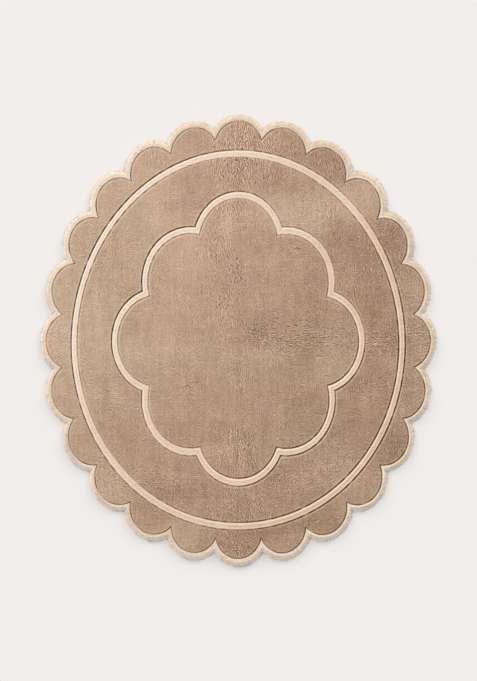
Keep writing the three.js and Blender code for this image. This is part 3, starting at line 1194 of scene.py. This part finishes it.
def frayed_edge(offset, turns):
    """The scalloped edge as it is, as a function of offset and of turns round the rug."""
    waves = np.random.default_rng(seed=8)
    fray = np.zeros_like(turns)
    for times_round in waves.integers(*FRAY_TIMES_ROUND, FRAY_WAVES):
        fray += FRAY * np.sin(2 * np.pi * (times_round * turns + waves.uniform()))
    from_notch = np.abs((turns * SCALLOPS) % 1 - 0.5)
    fray *= np.clip(from_notch * FRAY_GROWTH - FRAY_HELD_BACK, 0, 1) * (1 + offset / EDGE_WIDTH)
    return trimmed_edge(offset + fray, turns)


def edge_side():
    """The open edge of the border: tufts in bunches side by side, with painted light and shade on the rim.
    """
    rows = [
        Row(-edge.inward, edge.height, edge.deep, lip=(1 - edge.inward / EDGE_WIDTH) ** 2)
        for edge in edge_profile
    ]
    return Side(frayed_edge, scallop_steps, WITHIN, rows, cut=None, pale=rim_painted_light, bunched=EDGE_BUNCHED)


# Loose fibres: some straggle, long, from low on the edge. The others are short, stand all over the dome
# and are longer where it is steep. All of them stand in bunches, and those of a bunch lean alike.
LOOSE_FIBRES = 15000
# How strongly a highlight is painted on the loose fibres
LOOSE_HIGHLIGHT = 1.2
STRAGGLING_SHARE = 0.3
STRAGGLING_ROWS = (1.6, 3.4)
STRAGGLING_LENGTHS = (0.003, 0.008)
SHORT_ROWS = (2.0, 6.5)
SHORT_LENGTHS = (0.0010, 0.0020)
LONGER_WHERE_STEEP = 1.5
FIBRE_THICKNESSES = (0.7, 1.2)
LOOSE_THICKNESS = 0.0010
BEND_THICKNESS = 0.38
ROOT_DEPTH = 0.0015
BUNCHES = 1000
BUNCH_SPREAD = 0.0004
BUNCH_LEAN = 0.35
FIBRE_LEAN = 0.30

# A fibre bends part of the way up it, by part of its lean. Its tip droops, and neither touches the floor.
BEND_AT = 0.4
BEND_LEAN = 0.2
LOWEST_BEND = 0.002
TIP_DROOP = 0.0004
LOWEST_TIP = 0.001

# A slanting direction that no fibre follows, to square its three corners to
SLANTING = (0.31, 0.17, 0.94)


def tapered(root, bend, tip, thickness):
    """Loose fibres as thin three-sided spikes, in one mesh, from arrays of their roots, bends and tips."""
    along = tip - root
    sideways = np.cross(along, SLANTING)
    sideways /= np.linalg.norm(sideways, axis=1)[:, None]
    upward = np.cross(along, sideways)
    upward /= np.linalg.norm(upward, axis=1)[:, None]
    corners = []
    for middle, size in ((root, 0.5), (bend, BEND_THICKNESS)):
        for corner in range(3):
            angle = 2 * math.pi / 3 * corner
            out = sideways * math.cos(angle) + upward * math.sin(angle)
            corners.append(middle + out * thickness[:, None] * size)
    corners.append(tip)
    points = np.stack(corners, axis=1).reshape(-1, 3)
    root_face = [(0, 2, 1)]
    shaft_faces = [(0, 1, 4), (0, 4, 3), (1, 2, 5), (1, 5, 4), (2, 0, 3), (2, 3, 5)]
    tip_faces = [(3, 4, 6), (4, 5, 6), (5, 3, 6)]
    one = np.array(root_face + shaft_faces + tip_faces)
    faces = (one[None] + len(corners) * np.arange(len(root))[:, None, None]).reshape(-1, 3)
    return points, faces


def make_loose_edge(wool):
    """Loose fibres all along the open edge, each leaning its own way."""
    chance = np.random.default_rng(seed=21)
    bunch = chance.integers(0, BUNCHES, LOOSE_FIBRES)
    turns = (chance.uniform(0, 1, BUNCHES)[bunch] + chance.normal(0, BUNCH_SPREAD, LOOSE_FIBRES)) % 1
    straggling = chance.uniform(0, 1, LOOSE_FIBRES) < STRAGGLING_SHARE
    on_edge = frayed_edge(0.0, turns)
    outward = outward_at(frayed_edge, 0.0, turns)
    outward /= np.linalg.norm(outward, axis=1)[:, None]
    low_row = chance.uniform(*STRAGGLING_ROWS, LOOSE_FIBRES)
    row = np.where(straggling, low_row, chance.uniform(*SHORT_ROWS, LOOSE_FIBRES))
    near = [row - 0.5, row, row + 0.5]
    number = np.arange(len(edge_profile))
    inward = np.interp(near, number, [edge.inward for edge in edge_profile])
    height = np.interp(near, number, [edge.height for edge in edge_profile])
    out = height[2] - height[0]
    up = inward[2] - inward[0]
    steepness = out / np.hypot(out, up)
    surface = np.column_stack([on_edge - outward * inward[1][:, None], height[1]])
    normal = np.column_stack([outward * steepness[:, None], up / np.hypot(out, up)])
    lean = chance.normal(0, BUNCH_LEAN, (BUNCHES, 3))[bunch] + chance.normal(0, FIBRE_LEAN, surface.shape)
    short = chance.uniform(*SHORT_LENGTHS, LOOSE_FIBRES) * (1 + LONGER_WHERE_STEEP * steepness**2)
    stand = np.where(straggling, chance.uniform(*STRAGGLING_LENGTHS, LOOSE_FIBRES), short)[:, None]
    root = surface - normal * ROOT_DEPTH
    bend = surface + normal * stand * BEND_AT + lean * stand * BEND_LEAN
    tip = surface + normal * stand + lean * stand
    bend[:, 2] = np.maximum(bend[:, 2], LOWEST_BEND)
    tip[:, 2] = np.maximum(tip[:, 2] - TIP_DROOP, LOWEST_TIP)
    thickness = chance.uniform(*FIBRE_THICKNESSES, LOOSE_FIBRES) * LOOSE_THICKNESS
    points, faces = tapered(root, bend, tip, thickness)
    values = pile_values(points, CREAM_PATCHINESS)
    values["rise"] = chance.uniform(-0.5, 0.5, len(points))
    values["lip"] = np.full(len(points), LOOSE_HIGHLIGHT)
    return mesh_object("loose_edge_fibres", wool, points, faces, values)


border_wool = cream_finish("border_wool", mottle=1.8, shades=BORDER_CREAM)
border_pile = pile_area(
    "border_pile",
    border_wool,
    seed=16,
    outer=edge_side(),
    inner=cut_side(
        lobed_outline(scallops, stray=border_stray),
        scallop_steps, -BORDER_WIDTH, BEYOND, border_cut, border_cream_lip_light,
    ),
    patchiness=CREAM_PATCHINESS,
    painted_light_round=border_painted_light,
    patches=border_light_patches,
)
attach(border_pile, "root")
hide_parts("rug")

loose_edge = make_loose_edge(border_wool)
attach(loose_edge, "root")
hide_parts("rug")
